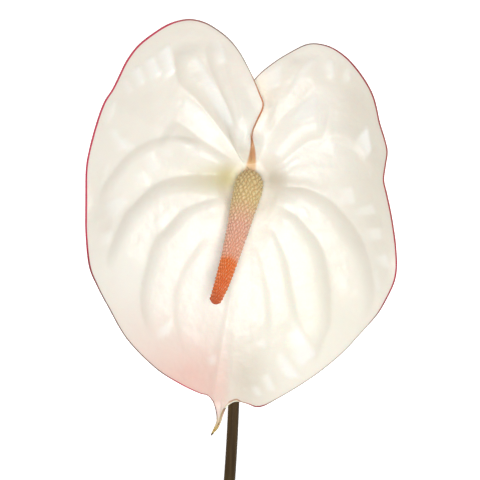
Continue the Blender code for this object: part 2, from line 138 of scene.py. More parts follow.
# Each vein: its points outwards, the bank's side (1 is left), height, widths, and the length of its back.
LEFT_VEINS = [
    ([
        (-4.9, 18.8), (-6.3, 27.6), (-8, 34.7), (-10.2, 41.9), (-12, 48.2), (-13.4, 53.6)
    ], -1, 0.7, (1.5, 1.8, 2), 8),
    ([
        (-6.7, 15.5), (-9.3, 25.9), (-12.4, 32.7), (-15.5, 39.3), (-18.2, 45.7), (-19.6, 51.1),
        (-20, 57.5)
    ], -1, 1.4, (1.5, 2.2, 2.6), 9),
    ([
        (-5.8, 6.2), (-8.9, 13.1), (-13, 18.5), (-16.5, 22.9), (-20.5, 27.7), (-24, 32.1), (-28, 35.7),
        (-31.6, 38.9), (-33.4, 44.2), (-34.3, 50.5), (-35.3, 56.9)
    ], -1, 2.6, (2.5, 4.5, 4.5), 14),
    ([
        (-5.8, 4), (-13, 7.9), (-18.3, 11.3), (-22.7, 14.4), (-27.2, 18), (-31.6, 21.1), (-36.1, 23.8)
    ], 1, 1.9, (2.5, 4.6, 6), 12),
    ([
        (-20.1, 10), (-24.5, 13.5), (-30.7, 15.2), (-37.9, 15.3), (-45.2, 13.7), (-51.1, 10.8),
        (-55.8, 7.3), (-59.6, 3.4), (-62.8, -0.7), (-65.3, -3.7), (-67.3, -7.3), (-68.8, -11.4),
        (-69.8, -15.9)
    ], 1, 1.9, (2.5, 3.6, 3.6), 14),
    ([
        (-4.9, -1.8), (-11.2, -1), (-18.3, -1.5), (-27.3, -1.9), (-35.8, -3), (-40.8, -4.7),
        (-45.3, -7.5), (-49.4, -11.2), (-52.3, -14.3), (-56.2, -18.3), (-58.6, -22.8), (-61.6, -29.6),
        (-63.8, -35.3), (-65.1, -40.9), (-65.5, -45.9)
    ], 1, 3, (8, 4.6, 3.2), 16),
    ([
        (-6.7, -9.9), (-11.2, -10.4), (-15.8, -12.2), (-24.3, -14.5), (-30, -17), (-34.1, -20.6),
        (-38.2, -25.5), (-42.3, -29.2), (-45.2, -36), (-46.8, -42.6), (-48.6, -49.1), (-49.4, -55.6),
        (-49.2, -60.2), (-48.4, -65.1), (-46.8, -70.9), (-45.5, -76.5)
    ], 1, 1.9, (3.5, 4, 2.8), 15),
    ([
        (-18.7, -26.5), (-22.3, -30.9), (-25.9, -36.7), (-29.4, -42.1), (-32.1, -47.9), (-33.9, -53.7),
        (-34.3, -60), (-33.8, -66.2), (-32.4, -73.9), (-30.5, -79.3), (-27.8, -84.7)
    ], 1, 0.6, (2, 1.8, 1.4), 10),
]
RIGHT_VEINS = [
    ([
        (7.5, 19.4), (10.6, 27.4), (13.3, 33.6), (17.3, 39.2), (21.8, 44.9), (24.5, 49.5)
    ], 1, 1.2, (2.4, 3.4, 3.6), 9),
    ([
        (6.7, 14.1), (11.1, 21.2), (15.6, 25.7), (21.3, 30.8), (25.4, 35.2), (29.4, 37.7), (33.9, 38.6)
    ], 1, 1.6, (3, 5.2, 6), 11),
    ([
        (5.8, -1.8), (9.4, 1.3), (15.1, 5.2), (20.4, 9.6), (24.4, 12.7), (28.4, 14), (33.4, 13.6)
    ], 1, 2.2, (3.4, 5.6, 6.4), 14),
    ([
        (31.6, 13.1), (37.9, 13.6), (41.9, 12.4), (45.6, 10.2), (49.7, 5.3), (52.6, 0), (54, -5.3)
    ], 1, 1, (2, 2.4, 3), 8),
    ([
        (6.7, -3.6), (14.3, -6.8), (23.6, -7.3), (29.4, -9.5), (34.4, -12.2), (38.1, -15.3),
        (43.3, -20.8), (47, -25.8), (50.4, -31.6), (52.7, -38.2), (54.2, -44.5), (55.4, -51.2),
        (55.1, -57.7), (53.1, -64.1), (50.5, -69.1)
    ], -1, 2.8, (5.5, 6, 2.2), 16),
    ([
        (8.5, -11.7), (11.5, -14.5), (15.8, -17.3), (20.9, -20.5), (25.1, -25.2), (28.7, -29.4),
        (31.6, -34.4), (33.4, -40.2), (34.6, -46.6), (35.3, -52.9), (35.5, -60.1), (35.4, -68),
        (33.2, -73.8), (31.1, -79.5), (29, -85.4), (26.5, -89.1)
    ], -1, 2, (3.2, 4.4, 2), 15),
    ([
        (8.4, -22.5), (11.5, -30.1), (13.6, -34.4), (15.4, -39.4), (16.5, -43.7), (17.6, -50.8),
        (18.9, -57.2), (20.8, -64.9), (22.8, -69.8)
    ], -1, 0.9, (1.6, 2.2, 2.4), 10),
    ([
        (2.6, -32.3), (3.9, -38.1), (5.5, -43.6), (6.5, -49.3), (8.2, -55.4), (8.4, -65.2), (8, -74.2)
    ], -1, 0.5, (1.4, 2, 1.6), 9),
]

# Small cells between the veins: their corners, and how far each swells up and gets a painted highlight (below
# 0 it sinks and gets painted shade).
LEFT_CELLS = [
    ([(-42, 52.5), (-36.6, 56.5), (-33.9, 44.7), (-38.3, 41.6)], 1),
    ([(-48.3, 48.7), (-43.3, 51.2), (-40.1, 43.5), (-45.1, 40.9)], 0.9),
    ([(-54.8, 44.9), (-49.7, 46.9), (-47.4, 39.7), (-51.1, 37.6)], 0.8),
    ([(-58.5, 40.2), (-55.7, 41.9), (-53, 36.4), (-55.7, 34.2)], 0.6),
    ([(-65.4, 28.2), (-60.8, 32.1), (-62.1, 25.3), (-66.9, 20.6)], 0.6),
    ([(-31.6, 26.5), (-29, 32.7), (-20.5, 26.5), (-13, 16.3), (-17.4, 14), (-24.5, 19.8)], 0.6),
    ([(-50.6, 35.4), (-38.3, 38.1), (-33, 35.3), (-33.9, 22), (-49.7, 20.5)], -0.15),
    ([(-27.1, 50.2), (-24.5, 51.1), (-12.9, 33.1), (-7.6, 20.6), (-10.3, 20), (-20, 33.3)], 0.8),
    ([(-17.4, 58.3), (-13.4, 57.3), (-11.1, 48.2), (-15.6, 47.3)], 0.6),
    ([(-49.3, 7.1), (-44.2, 9.2), (-40.8, 1.7), (-46.7, -1.8)], 0.5),
    ([(-41.5, 9.6), (-35.6, 10.4), (-35.2, 6.9), (-40.7, 6.1)], 0.4),
    ([(-30.6, 11.1), (-26.2, 12.1), (-22.7, 6.8), (-29, 6)], 0.5),
    ([(-53.9, -1.3), (-48.5, 0), (-45.3, -5.4), (-50.8, -7.1)], 0.5),
    ([(-64.6, 19.2), (-61.2, 19.5), (-55.3, 10.9), (-60.9, 9.2)], 0.7),
    ([(-59.4, 13.6), (-56.2, 15.4), (-52.5, 11.3), (-56.3, 9.1)], 0.6),
    ([(-67.2, 2.2), (-63.8, 4.4), (-65.8, -3.3), (-69.1, -6.8)], 0.6),
    ([(-66.8, -15), (-58.2, -10.6), (-55.5, -13.4), (-63, -22.3)], 0.5),
    ([(-69.7, -22.3), (-63, -21), (-63.8, -26.4), (-70.5, -27.3)], -0.4),
    ([(-68.6, -27.8), (-62.9, -26.4), (-63.7, -31.4), (-69.5, -33.2)], 0.5),
    ([(-55.6, -30.5), (-48.8, -25.1), (-49.7, -30.5), (-54.3, -35.9)], -0.3),
    ([(-47.1, -10.8), (-41.6, -9), (-42.5, -22.5), (-46.1, -22.5)], -0.3),
    ([(-44.3, -23.3), (-35.3, -15.8), (-32.6, -18), (-41.6, -26.9)], 0.4),
    ([(-43.1, -71.4), (-35.3, -65.8), (-36.3, -72.2), (-42.2, -75.4)], 0.6),
    ([(-21.9, -80.6), (-14.7, -77.3), (-15.2, -79.5), (-20.1, -82.4)], -0.3),
    ([(-19.7, -82.8), (-15.6, -81.8), (-16.1, -85.9), (-19.3, -86.4)], 0.5),
    ([(-26, -85.7), (-21, -84.2), (-17.9, -92.3), (-22.9, -94.7)], -0.3),
    ([(-28.6, 0.1), (-23.2, -0.3), (-23.2, -1.4), (-28.2, -1)], -0.6),
]
RIGHT_CELLS = [
    ([(32.6, 47.3), (35.7, 50), (37, 42.7), (34.3, 40.9)], 0.9),
    ([(38, 47.3), (42.1, 50.1), (40.2, 41), (37, 40)], -0.3),
    ([(40.2, 43.7), (43.4, 46.5), (44.3, 41.1), (41.1, 39.2)], 0.7),
    ([(4.9, 42.9), (13.8, 48.7), (12.9, 39), (6.7, 35.6)], 0.6),
    ([(14.7, 30.1), (22.7, 46.2), (27.2, 50.3), (29, 49), (20, 36.3)], 0.6),
    ([(6.2, 31.9), (8.9, 32.8), (9.3, 29.1), (6.6, 28.1)], -0.9),
    ([(17.3, 22), (21.8, 29.2), (28.5, 34.1), (28.4, 23.7), (19.9, 21)], 0.5),
    ([(29.4, 34.1), (38.4, 37.3), (37.4, 23.9), (29.7, 21)], -0.1),
    ([(35.2, 26.5), (37.9, 30.2), (36.9, 15.8), (33.3, 15.8)], -0.3),
    ([(46, 13.7), (52.1, 19.8), (53.8, 9.9), (50.6, 5.4)], 0.9),
    ([(29.8, 10), (32.5, 14), (37.4, 13.2), (37, 7.4)], 0.7),
    ([(11.2, -0.5), (20.4, 6.5), (21.3, 5.1), (12.9, -1.5)], 0.4),
    ([(38.4, -8.2), (45.3, -6.7), (46.8, -13.9), (40.3, -14.8)], 0.45),
    ([(45.4, -17), (54.6, -14.2), (56.6, -18.7), (46.3, -19.7)], 0.35),
    ([(50.5, -19.7), (58.9, -18.7), (60.4, -24.1), (51.5, -24.6)], -0.35),
    ([(50.5, -25.5), (58.5, -25.1), (59.1, -30), (52, -30)], 0.4),
    ([(52.5, -31.4), (62.5, -30.5), (64, -36), (53.4, -36.4)], -0.3),
    ([(55.4, -38.2), (61.7, -37.3), (63.6, -43.3), (57.5, -42.3)], 0.5),
    ([(54.4, -45.4), (57.4, -44.2), (58.3, -53.3), (56.4, -53.2)], 0.5),
    ([(17.4, -65.7), (19.1, -66.2), (28.8, -81.8), (22.5, -87.2), (17.4, -80.6)], 0.8),
    ([(21, -67.1), (26.3, -68.9), (30.1, -78.1), (27.4, -79.9)], -0.3),
    ([(11.6, -81), (13.4, -80.6), (22.1, -92.2), (16.6, -92.4), (11.6, -86.9)], 0.8),
    ([(4, -92.2), (7.6, -90.5), (10.8, -97.9), (6.7, -98.2)], 0.7),
    ([(-0.5, -96.3), (2.7, -95.9), (4.9, -100.1), (0.9, -100.4)], 0.6),
    ([(8.9, -89.6), (11.2, -90.5), (13.5, -97.1), (10.8, -97.5)], -0.5),
    ([(14.3, -78.7), (16.1, -77), (17.9, -83.4), (16.1, -84.2)], -0.4),
    ([(2.2, -75.4), (6.6, -75.5), (6.7, -78.7), (2.2, -78.6)], 0.5),
    ([(-0.1, -63.4), (2.6, -62.9), (2.6, -67.4), (-0.1, -67.8)], 0.4),
    ([(-1.8, -43.8), (3.9, -42.9), (4.8, -50), (-0.5, -50.5)], -0.2),
    ([(47.7, -21.9), (49.6, -21.9), (49.6, -23.7), (47.7, -23.7)], -0.8),
    ([(20.4, -17.1), (23.6, -15.8), (26.3, -21.1), (23.1, -22)], 0.7),
    ([(29, -28.7), (31.2, -27.8), (33.1, -33.2), (30.8, -34.1)], 0.5),
    ([(35.8, -40.4), (41.2, -40.8), (42.6, -44.9), (37.2, -44.8)], -0.4),
    ([(37.2, -47.5), (42.6, -46.7), (44.5, -53), (38.1, -52.9)], 0.3),
]

MIDRIB = [(-5, -20), (-9, -42), (-10.5, -58), (-11, -72), (-11.3, -86), (-12.5, -96), (-13.7, -103)]

# The spadix's middle line: place, height over its seat and radius.
SPADIX = [
    (-0.3, -4.4, 0.0, 3.4), (-0.4, -4.4, 1.6, 5.0), (-0.8, -5.6, 4.2, 5.9), (-1.6, -9.2, 8.0, 6.0),
    (-3.2, -15.0, 11.8, 5.5), (-4.9, -22.0, 15.6, 4.85), (-7.1, -30.5, 19.8, 4.15),
    (-9.8, -40.0, 24.0, 3.45), (-12.9, -49.7, 28.6, 2.85), (-15.2, -55.6, 31.4, 2.25),
]

# The stem's bend below the blade, with height and radius, and its run on the table, with radius only.
STEM_TOP = [
    (-0.2, -3.8, 12.2, 3.1), (-0.2, -3.8, 9.2, 2.9), (-0.9, -6.8, 6.0, 2.75), (-2.2, -14.0, 3.9, 2.62),
    (-4.0, -28.0, 2.95, 2.6),
]
STEM_RUN = [
    (-5.6, -50.0, 2.58), (-7.2, -90.0, 2.56), (-8.8, -125.0, 2.6), (-11.6, -165.0, 2.68),
    (-15.2, -215.0, 2.78), (-18.0, -270.0, 2.9), (-19.6, -330.0, 3.05), (-19.6, -385.0, 3.2),
    (-19.2, -400.0, 3.25),
]

# The spadix's seat in the blade, its faces for each floret, and how the florets fade at its ends.
SPADIX_SEAT = 0.75
FACES_PER_FLORET = 8
ROWS_PER_FLORET = 7
TIP_ROWS = 11
FOOT_FADE = 4.0
TIP_FADE = 2.0
WAVE_FADE = 6.0
STIGMA_HEIGHT = 0.28
STIGMA_SPREAD = 0.07
FLORET_SQUARENESS = 3
FLORET_DOMING = 0.35
SMALLEST_FLORET = 0.75
FULL_FLORET_RADIUS = 4.0
# Slow waves that push the florets out of line: their size, and how they turn round and along the spike.
FLORET_WAVES = [(0.16, 1.9, 0.7), (0.12, 0.8, -2.3)]

# The stem lies on one facet of the twelve that its solid has, from here to its cut end.
STEM_FACETS = 12
STEM_LIES_FROM = -40.0
CUT_START, CUT_FULL = 399.2, 399.6
# Long low ridges in its skin: their height, how many go round, and how they twist along it.
STEM_RIDGES = [(0.05, 7.0, 0.015), (0.04, 3.0, 0.05)]
RIDGE_FADE = 12.0
STEM_WAVE = 0.008
STEM_WAVE_LENGTH = 23.0
STEM_SHARP_EDGE = math.radians(50.0)

# The stage: the overhead light's place from the camera's foot and its size, and the floor's size.
LIGHT_PLACE = (0.04, -0.16, 1.15)
LIGHT_SIZE = 0.5
FLOOR_SIZE = 6.0
SENSOR_WIDTH = 36.0
NEAREST_SEEN = 0.01

# Tones of the spathe.
# Used both for the random paler cloud and as painted light.
BRIGHT_WAX = (0.955, 0.93, 0.85)
# The colour of the painted shade on the veins' banks and on sunken cells.
SHADED_WAX = (0.66, 0.60, 0.47)
# The colour of the painted shade patches.
PATCH_SHADE_WAX = (0.625, 0.60, 0.485)
WARM_WAX = (0.92, 0.89, 0.76)
# The colour of the painted highlight on swollen cells.
PAINTED_GLINT = (0.985, 0.97, 0.91)
FOOT_GREEN_AND_SHADE = (0.63, 0.58, 0.29)
PAINTED_SHADE_OLIVE = (0.52, 0.48, 0.36)
CLEFT_ORANGE = (0.60, 0.27, 0.10)
CLEFT_TAN = (0.72, 0.46, 0.20)
BLADE_BACK = (0.92, 0.88, 0.68)

# Soft patches of those tones: place, radius, stretch along the flower, and strength.
PAINTED_LIGHT_MIDDLE = [(-2, -34, 46, 1.2, 1.0), (22, 8, 22, 1.0, 0.5)]
PAINTED_SHADE_PATCHES = [
    (-2, -90, 11, 1.8, 0.85), (44, 30, 13, 1.0, 0.32), (8, 31, 5, 1.0, 0.25), (57, -4, 17, 2.4, 0.5),
]
PAINTED_LIGHT_PATCHES = [(-54, -46, 16, 1.4, 0.6), (27, 28, 10, 1.0, 0.7)]
WARM_PATCHES = [(24, -58, 26, 1.5, 0.8)]
BLUSH_PATCHES = [(-34, -94, 24, 1.0, 0.68), (-56, -70, 16, 1.0, 0.10), (-6, 44, 12, 1.0, 0.08)]
BLUSH_AT_TAIL = [(-14, -96, 15, 1.3, 0.42)]
BLUSH_EDGE_X = -10.6
# Green left of the spadix's foot: partly the blade's own tint and partly painted shade.
GREEN_TINT_AND_SHADE_PATCHES = [(-9, -2.5, 11, 0.55, 0.84), (-22, -5, 13, 0.45, 0.25)]
# Painted shade right of the spadix's foot.
PAINTED_SHADE_BESIDE_SPADIX = [(6.5, -3.5, 9.5, 0.6, 0.8), (23, -5.5, 13, 0.35, 0.3)]

# The tail's end: where each tone begins and is full, its strength and its colour.
TAIL_TONES = [
    (108.0, 113.5, 0.7, (0.84, 0.64, 0.40)),
    (112.5, 115.5, 0.85, (0.56, 0.42, 0.13)),
    (116.8, 117.8, 1.0, (0.10, 0.055, 0.015)),
]

# The rim's colours and widths by the run round the edge, from the notch over the tail's tip at TIP_RUN.
TIP_RUN = 0.5
DEEP_RED, ROSE, CHERRY = (0.33, 0.025, 0.045), (0.50, 0.16, 0.15), (0.50, 0.05, 0.09)
WINE, BRICK, RUST = (0.42, 0.06, 0.07), (0.40, 0.09, 0.08), (0.56, 0.20, 0.08)
MAUVE, FAINT = (0.24, 0.15, 0.13), (0.42, 0.38, 0.31)
TIP_TAN, CURL_TAN = (0.50, 0.38, 0.16), (0.50, 0.31, 0.21)
RIM_WIDTHS = [
    (0.0, 0.7), (0.035, 0.65), (0.05, 0.45), (0.10, 0.6), (0.125, 0.9), (0.15, 1.0), (0.33, 1.0),
    (0.36, 0.6), (0.43, 0.5), (0.445, 0.6), (0.47, 0.4), (0.49, 0.3), (0.515, 0.3), (0.525, 0.4),
    (0.54, 0.4), (0.552, 0.7), (0.57, 0.35), (0.65, 0.4), (0.67, 0.7), (0.70, 0.85), (0.75, 0.85),
    (0.80, 0.75), (0.86, 0.85), (0.90, 0.5), (0.96, 0.4), (1.0, 0.5),
]
# Beside the tail the blade curls over and shows its back: where it starts, is full, ends, and how far in.
CURL_START, CURL_FULL, CURL_EASE, CURL_END = 0.521, 0.526, 0.534, 0.539
CURL_DEPTH = 0.95

# The orange fold in the cleft: its line, its half width at the notch and how much it widens.
CLEFT_X = 0.3
CLEFT_LENGTH = 12.0
CLEFT_BOW = 2.2
CLEFT_DRIFT = 0.5
CLEFT_HALF_WIDTH = 0.5
CLEFT_SPREAD = 2.1
CLEFT_FOOT, CLEFT_FOOT_FULL, CLEFT_TOP_FULL, CLEFT_TOP = -6.0, -3.0, 15.0, 17.0


def smooth(value):
    """0 below 0, 1 above 1, and an even slope at both ends."""
    t = np.clip(value, 0.0, 1.0)
    return t * t * (3.0 - 2.0 * t)


def soft(value, radius):
    """The value itself above 0 and nothing below, with a rounded bend between."""
    return 0.5 * (value + np.sqrt(value * value + radius**2))


def bent(start, pull, end, share):
    """The place a share of the way along a curve from start to end that leans towards pull."""
    return (1 - share) ** 2 * start + 2 * share * (1 - share) * pull + share**2 * end


def distance_along(points):
    """How far each point is from the first one along their line."""
    return np.concatenate([[0.0], np.cumsum(np.linalg.norm(np.diff(points, axis=0), axis=1))])


def through(points, count):
    """count + 1 rows on a smooth curve through the points, evenly spaced along it."""
    rows = np.array(points, float)
    padded = np.vstack([2 * rows[0] - rows[1], rows, 2 * rows[-1] - rows[-2]])
    t = np.linspace(0.0, 1.0, CURVE_STEPS, endpoint=False)[:, None]
    fine = []
    for i in range(len(rows) - 1):
        a, b, c, d = padded[i : i + 4]
        slope, bend, twist = c - a, 2 * a - 5 * b + 4 * c - d, 3 * b - a - 3 * c + d
        fine.append(0.5 * (2 * b + slope * t + bend * t**2 + twist * t**3))
    fine = np.vstack([*fine, rows[-1:]])
    along = distance_along(fine[:, :3])
    wanted = np.linspace(0.0, along[-1], count + 1)
    return np.column_stack([np.interp(wanted, along, fine[:, k]) for k in range(rows.shape[1])])


def from_line(xy, line):
    """Each xy's distance from every stretch of a line, its offset from the start, and its share along."""
    step = np.diff(line, axis=0)
    offset = xy[:, None, :] - line[None, :-1]
    share = np.clip((offset * step).sum(2) / (step * step).sum(1), 0.0, 1.0)
    return np.linalg.norm(offset - share[..., None] * step, axis=2), offset, share


def fold(xy, points, side, height, widths, fade):
    """The height that one vein adds at each xy, and how steep its bank is there (1 is the steepest).

    The bank climbs from the crease over its width, and behind it the blade sinks back over fade."""
    line = through(points, VEIN_STRETCHES)
    distances, offsets, shares = from_line(xy, line)
    nearest = distances.argmin(1)
    chosen = (np.arange(len(xy)), nearest)
    step, offset = np.diff(line, axis=0)[nearest], offsets[chosen]
    turn = step[:, 0] * offset[:, 1] - step[:, 1] * offset[:, 0]
    across = distances[chosen] * np.sign(turn) * side
    run = (nearest + shares[chosen]) / VEIN_STRETCHES
    width = np.interp(run, (0.0, 0.5, 1.0), widths)
    ends = smooth(run / VEIN_END) * smooth((1.0 - run) / VEIN_END)
    to_climb = 1.0 - np.clip(soft(across, CREASE_RADIUS) / (BANK_SPREAD * width), 0.0, 1.0)
    bank = (1.0 - to_climb * to_climb) * (1.0 - smooth((across - width) / fade))
    steep = to_climb * 0.5 * (1.0 + across / np.hypot(across, CREASE_RADIUS))
    return height * ends * bank, ends * steep * min(height / STEEP_HEIGHT, 1.0)


def cell(xy, corners):
    """1 well inside the corners, 0 outside, soft at the sides, and slowly fading in from the last side."""
    corners = np.array(corners, float)
    inside = np.full(len(xy), 1.0)
    centre = corners.mean(0)
    for a, b in zip(corners, np.roll(corners, -1, axis=0)):
        out = np.array([b[1] - a[1], a[0] - b[0]]) / np.linalg.norm(b - a)
        out *= np.sign(out @ (a - centre))
        inside *= smooth(0.5 - ((xy - a) @ out) / CELL_EDGE)
    return inside * smooth(0.25 - ((xy - corners[-1]) @ out) / CELL_FADE)


def near(xy, points, reach):
    """Which of the xy lie within reach of the box round the points."""
    low, high = np.min(points, axis=0) - reach, np.max(points, axis=0) + reach
    return np.all((xy > low) & (xy < high), axis=1)


def relief(xy, half, vein_depth, cell_depth, midrib_depth):
    """The height of veins, cells, midrib and crest, how steep the banks are, and the cells' tone for their
    painted highlight and shade.

    half is -1 left and 1 right."""
    lift, bank, tone = np.zeros((3, len(xy)))
    veins, cells = (LEFT_VEINS, LEFT_CELLS) if half < 0 else (RIGHT_VEINS, RIGHT_CELLS)
    for points, side, height, widths, fade in veins:
        chosen = near(xy, points, fade + max(widths))
        raised, steep = fold(xy[chosen], points, side, height, widths, fade)
        lift[chosen] += vein_depth * raised
        bank[chosen] += steep
    for corners, swell in cells:
        chosen = near(xy, corners, CELL_REACH)
        full = cell(xy[chosen], corners)
        lift[chosen] += cell_depth * swell * full
        tone[chosen] += swell * full
    x, up, down = xy[:, 0], xy[:, 1], -xy[:, 1]
    rib = through(MIDRIB, MIDRIB_STRETCHES)
    beside = (x - np.interp(down, -rib[:, 1], rib[:, 0])) * half
    clear = 1.0 - smooth(down / MIDRIB_MASK_EASE) * (1.0 - smooth(beside / MIDRIB_MASK))
    lift *= clear
    bank *= clear
    groove = np.exp(-((beside / MIDRIB_WIDTH) ** 2)) * smooth((down - MIDRIB_START) / MIDRIB_EASE)
    lift -= midrib_depth * groove
    crest_run = smooth(up / SINUS_FOOT_EASE) * smooth((NOTCH[1] + SINUS_CREST_PAST - up) / SINUS_TOP_EASE)
    lift += SINUS_CREST_HEIGHT * np.exp(-(((x - SINUS_X) / SINUS_CREST_WIDTH) ** 2)) * crest_run
    return lift, bank, tone


def reach_of_bend(run):
    """How far a ray swings clear of the notch, by the distance along the edge from the notch."""
    rise = np.sin(0.5 * math.pi * np.clip(run / SWEEP_RISE, 0.0, 1.0))
    fall = 0.5 * (1.0 + np.cos(math.pi * np.clip((run - SWEEP_RISE) / SWEEP_FALL, 0.0, 1.0)))
    return rise * fall


def tail_feet(edge, half):
    """Where each ray to the tail leaves the blade, and how far out on the tail it ends (1 is the tip)."""
    corner, tip = np.array(TAIL_LEFT if half < 0 else TAIL_RIGHT), LEFT_EDGE[-1]
    centre = 0.5 * (np.array(TAIL_LEFT) + np.array(TAIL_RIGHT))
    on_tail = (np.abs(edge[:, 0] - centre[0]) < TAIL_HALF_WIDTH) & (edge[:, 1] < corner[1])
    beyond = smooth((corner[1] - edge[:, 1]) / (corner[1] - tip[1])) * on_tail
    foot = corner + (centre - corner) * beyond[:, None]
    return np.where(beyond[:, None] > 0.0, foot, edge), beyond


def rays(edge, run, half, sweep, shares):
    """Curved rays from the base to each point of the edge: a row of places for each share of the way."""
    base = np.array([0.0, 0.0, BASE_HEIGHT])
    window = reach_of_bend(run)[:, None]
    foot, beyond = tail_feet(edge, half)
    middle = 0.5 * (foot + base) + np.array([1.0, 0.0, 0.0]) * sweep * half * window
    middle[:, 2] += FULLEST_SWELL - LOBE_SWELL_LOSS * window[:, 0]
    hook = 0.5 * (foot + edge) + np.array([TAIL_HOOK, 0.0, TAIL_HOOK_RISE]) * beyond[:, None]
    reach = np.linalg.norm(foot - base, axis=1)
    turn = reach / (reach + np.linalg.norm(edge - foot, axis=1))
    grid = []
    for share in shares:
        t = np.minimum(share / turn, 1.0)[:, None]
        s = np.clip((share - turn) / np.maximum(1.0 - turn, 1e-9), 0.0, 1.0)[:, None]
        grid.append(np.where(t < 1.0, bent(base, middle, foot, t), bent(foot, hook, edge, s)))
    return np.array(grid)


def settled(points):
    """The points' heights once the spadix's seat is level and the blade lies on the table."""
    x, y, height = points.T
    level = smooth(1.0 - (np.hypot(x - SEAT[0], y - SEAT[1]) - SEAT_RADIUS) / SEAT_BLEND)
    height = height + (BASE_HEIGHT - height) * level
    for rest_x, rest_y in RESTS:
        height -= PRESS_DEPTH * np.exp(-(((x - rest_x) ** 2 + (y - rest_y) ** 2) / PRESS_REACH**2))
    return LOWEST_MIDDLE + soft(height - LOWEST_MIDDLE, LANDING_RADIUS)


def blade_points(edge, run, half, sweep, shares, depths):
    """The blade's middle surface: one row of points for each share of the way from its base to its edge.

    Also gives each point's distance from the edge, the steepness of the banks and the cells' tone."""
    grid = rays(edge, run, half, sweep, shares)
    flat = grid.reshape(-1, 3)
    start = np.repeat(smooth(shares / RELIEF_START), len(edge))
    lift, bank, tone = (value * start for value in relief(flat[:, :2], half, *depths))
    flat[:, 2] += lift
    flat[:, 2] = settled(flat)
    margin = np.array([from_line(row[:, :2], edge[:, :2])[0].min(1) for row in grid])
    return grid, margin, bank.reshape(margin.shape), tone.reshape(margin.shape)


def tube_points(middle, step, reach, angle):
    """Rings of points about a middle line that runs along step, as far out as reach at each row and angle."""
    step = step / np.linalg.norm(step, axis=1)[:, None]
    aside = np.array([1.0, 0.0, 0.0]) - step[:, :1] * step
    aside /= np.linalg.norm(aside, axis=1)[:, None]
    above = np.cross(step, aside)
    outward = np.cos(angle)[..., None] * aside[:, None, :] + np.sin(angle)[..., None] * above[:, None, :]
    return middle[:, None, :] + reach[..., None] * outward


def to_frame(points):
    """Points in millimetres from the meeting point, as metres in the part's frame."""
    return (np.asarray(points) + np.array([*MEETING, 0.0])) * MM


def write_points(piece, points):
    piece.data.vertices.foreach_set("co", np.ascontiguousarray(points, np.float32).ravel())
    piece.data.update()


def read_points(piece):
    points = np.empty(len(piece.data.vertices) * 3, np.float32)
    piece.data.vertices.foreach_get("co", points)
    return points.reshape(-1, 3).astype(float)


def note(piece, name, values):
    """Keeps one number for each vertex, which the piece's finish reads."""
    numbers = piece.data.attributes.new(name, "FLOAT", "POINT").data
    numbers.foreach_set("value", np.ravel(values).astype(np.float32))


def new_grid(name, points):
    """A sheet of quads over rows of points, given in millimetres."""
    rows, columns = points.shape[:2]
    bpy.ops.object.select_all(action="DESELECT")
    bpy.ops.mesh.primitive_grid_add(x_subdivisions=columns - 1, y_subdivisions=rows - 1, size=1.0)
    piece = bpy.context.object
    piece.name = piece.data.name = name
    write_points(piece, to_frame(points.reshape(-1, 3)))
    return piece


def close_mesh(piece):
    """Merges the seam and the poles, and turns the faces outwards."""
    bpy.ops.object.mode_set(mode="EDIT")
    bpy.ops.mesh.select_all(action="SELECT")
    bpy.ops.mesh.remove_doubles(threshold=MERGE_GAP)
    bpy.ops.mesh.normals_make_consistent(inside=False)
    bpy.ops.object.mode_set(mode="OBJECT")


class Wire:
    """One value in a finish's node tree, so that its maths is written as plain expressions."""

    def __init__(self, socket):
        self.socket = socket

    def worked(self, operation, *values):
        tree = self.socket.id_data
        step = tree.nodes.new("ShaderNodeMath")
        step.operation = operation
        for slot, value in zip(step.inputs, values):
            if isinstance(value, Wire):
                tree.links.new(value.socket, slot)
            else:
                slot.default_value = value
        return Wire(step.outputs[0])

    def __add__(self, other):
        return self.worked("ADD", self, other)

    def __radd__(self, other):
        return self.worked("ADD", other, self)

    def __sub__(self, other):
        return self.worked("SUBTRACT", self, other)

    def __rsub__(self, other):
        return self.worked("SUBTRACT", other, self)

    def __mul__(self, other):
        return self.worked("MULTIPLY", self, other)

    def __truediv__(self, other):
        return self.worked("DIVIDE", self, other)

    def __neg__(self):
        return self.worked("MULTIPLY", self, -1.0)

    def least(self, other):
        return self.worked("MINIMUM", self, other)

    def most(self, other):
        return self.worked("MAXIMUM", self, other)

    def exp(self):
        return self.worked("EXPONENT", self)


